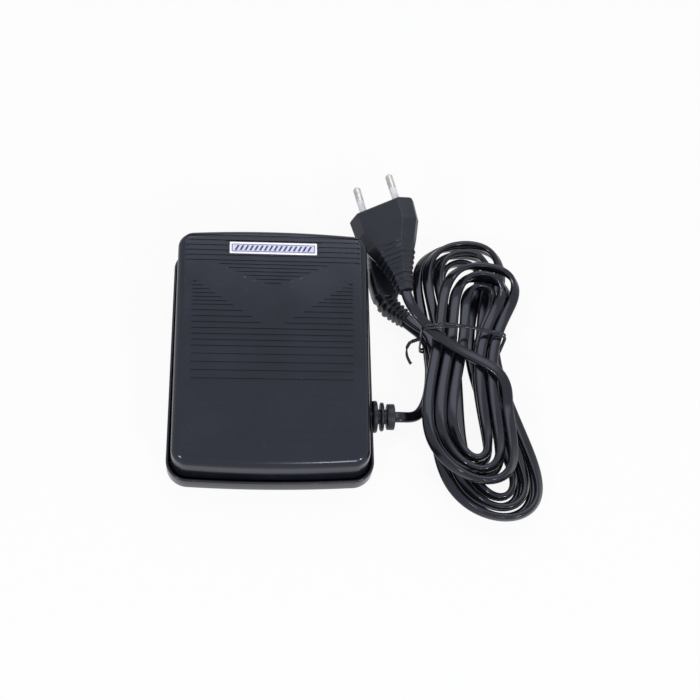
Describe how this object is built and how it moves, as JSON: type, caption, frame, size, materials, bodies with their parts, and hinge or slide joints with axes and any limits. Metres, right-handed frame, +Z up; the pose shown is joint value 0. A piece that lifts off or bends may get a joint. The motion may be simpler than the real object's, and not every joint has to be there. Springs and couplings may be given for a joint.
{
  "type": "sewing machine foot pedal",
  "caption": "Foot control with a ribbed cover hinged at the heel of a shallow tray, a speed regulator inside, and two flat cords wound in one tied hank with plug and machine connector.",
  "frame": {"origin": "on the floor under the middle of the tray", "axes": "+X to the user's right, the side where the cord leaves, +Y from the heel to the toe end, +Z up"},
  "size_m": [0.1821, 0.1871, 0.0422],
  "materials": {
    "tray_black": "fine texture",
    "foot_rubber": "matt",
    "pin_steel": "satin",
    "clip_steel": "oiled",
    "board_brown": "phenolic paper",
    "screw_steel": "zinc",
    "pot_blue": "moulded",
    "triac_black": "moulded",
    "sink_alu": "extruded",
    "coil_copper": "enamelled wire",
    "capacitor_yellow": "moulded",
    "component_tan": "lacquered",
    "terminal_green": "moulded",
    "wire_brown": "insulation",
    "clamp_white": "moulded",
    "pad_rubber": "matt",
    "spring_steel": "bright",
    "cover_black": "polished",
    "label_lilac": "brushed, printed border",
    "arm_steel": "stamped",
    "wiper_white": "moulded",
    "grommet_black": "satin",
    "cord_black": "satin",
    "tie_black": "satin",
    "plug_black": "satin",
    "pin_nickel": "nickel",
    "sleeve_grey": "sleeve",
    "contact_brass": "plain"
  },
  "bodies": {
    "base": {"base_tray": "tray_black", "rubber_feet": "foot_rubber", "pivot_pin": "pin_steel", "pivot_clips": "clip_steel", "circuit_board": "board_brown", "board_screws": "screw_steel", "potentiometer_body": "pot_blue", "triac": "triac_black", "heat_sink": "sink_alu", "choke_coil": "coil_copper", "suppression_capacitor": "capacitor_yellow", "board_components": "component_tan", "terminal_block": "terminal_green", "lead_wires": "wire_brown", "inner_cord": "cord_black", "cord_clamp": "clamp_white", "clamp_screws": "screw_steel", "stop_pads": "pad_rubber", "return_springs": "spring_steel", "strain_relief": "grommet_black", "pedal_cord_lead": "cord_black", "pedal_cord_hank": "cord_black", "pedal_cord_tail": "cord_black", "mains_cord_lead": "cord_black", "mains_cord_hank": "cord_black", "mains_cord_tail": "cord_black", "hank_tie": "tie_black", "plug_body": "plug_black", "plug_pins": "pin_nickel", "plug_sleeves": "sleeve_grey", "machine_connector": "plug_black", "connector_boot": "plug_black", "connector_contacts": "contact_brass"},
    "pedal": {"top_cover": "cover_black", "label_plate": "label_lilac", "actuator_arm": "arm_steel", "arm_screws": "screw_steel"},
    "wiper": {"wiper_slider": "wiper_white"}
  },
  "joints": [
    {"name": "pedal_hinge", "type": "hinge", "parent": "base", "child": "pedal", "pos_m": [0, -0.0525, 0.013], "axis": [-1, 0, 0], "range_deg": [0, 5.5], "stiffness_Nm_per_rad": 8, "springref_deg": -4.58, "deforming": ["return_springs"]},
    {"name": "wiper_slide", "type": "slide", "parent": "base", "child": "wiper", "axis": [0, 0, -1], "range_m": [0, 0.0083]}
  ],
  "couplings": [
    {"joint": "wiper_slide", "follows": "pedal_hinge", "m_per_rad": 0.0865}
  ]
}
